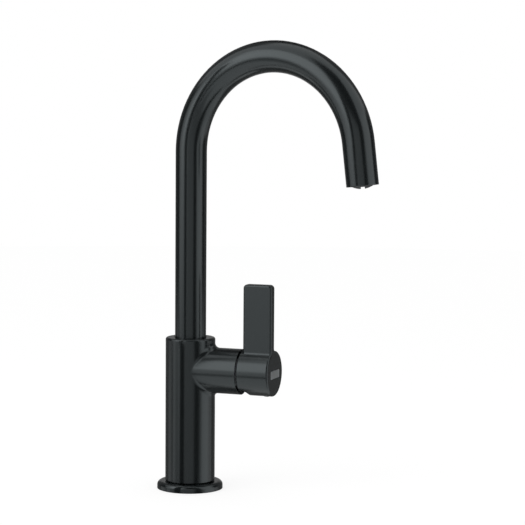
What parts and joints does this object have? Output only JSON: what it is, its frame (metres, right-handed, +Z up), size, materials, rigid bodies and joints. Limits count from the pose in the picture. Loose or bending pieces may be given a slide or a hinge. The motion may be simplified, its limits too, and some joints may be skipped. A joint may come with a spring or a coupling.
{
  "type": "bar faucet",
  "caption": "Gooseneck bar faucet: a round column on a flange, a side valve arm whose flat upright lever tilts and turns, and a swivelling bent tube spout with an aerator.",
  "frame": {"origin": "on the deck, at the middle of the hollow foot under the column", "axes": "+Z up along the column, +X the way the valve arm points; the spout rests turned -10 degrees about +Z from the arm"},
  "size_m": [0.19, 0.0656, 0.3595],
  "materials": {
    "black_metal": "satin black, cured coating on brass",
    "black_plastic": "moulded, satin",
    "rubber": "moulded, matt",
    "white_plastic": "turned acetal",
    "grey_plastic": "moulded, glass filled",
    "ceramic": "ground and lapped alumina",
    "brass": "turned",
    "steel": "turned stainless"
  },
  "bodies": {
    "column": {"column_body": "black_metal", "base_flange": "black_metal", "base_gasket": "rubber", "glide_ring": "white_plastic", "spout_lock_screw": "steel", "cartridge_base": "grey_plastic", "cold_port_seal": "rubber", "hot_port_seal": "rubber", "outlet_port_seal": "rubber", "fixed_disc": "ceramic", "cartridge_shell": "grey_plastic", "cartridge_nut": "black_metal"},
    "spout": {"spout_tube": "black_metal", "swivel_nipple": "brass", "swivel_o_ring_lower": "rubber", "swivel_o_ring_upper": "rubber", "aerator_washer": "rubber", "aerator_sleeve": "brass", "aerator_insert": "black_plastic", "aerator_screen": "grey_plastic"},
    "carrier": {"mixing_carrier": "grey_plastic", "stem_pin": "steel"},
    "lever": {"lever_handle": "black_metal", "lever_stem": "brass", "lever_set_screw": "steel", "lever_screw_plug": "black_plastic"},
    "valve_disc": {"moving_disc": "ceramic", "disc_coupler": "grey_plastic"}
  },
  "joints": [
    {"name": "spout_swivel", "type": "hinge", "parent": "column", "child": "spout", "pos_m": [0, 0, 0.118], "axis": [0, 0, 1], "continuous": true},
    {"name": "lever_turn", "type": "hinge", "parent": "column", "child": "carrier", "pos_m": [0.0558, 0, 0.097], "axis": [1, 0, 0], "range_deg": [-45, 45]},
    {"name": "lever_tilt", "type": "hinge", "parent": "carrier", "child": "lever", "pos_m": [0.0558, 0, 0.097], "axis": [0, 1, 0], "range_deg": [0, 20]},
    {"name": "disc_slide", "type": "slide", "parent": "carrier", "child": "valve_disc", "axis": [0, 0, 1], "range_m": [0, 0.0037]}
  ],
  "couplings": [
    {"joint": "disc_slide", "follows": "lever_tilt", "m_per_rad": 0.0105}
  ]
}
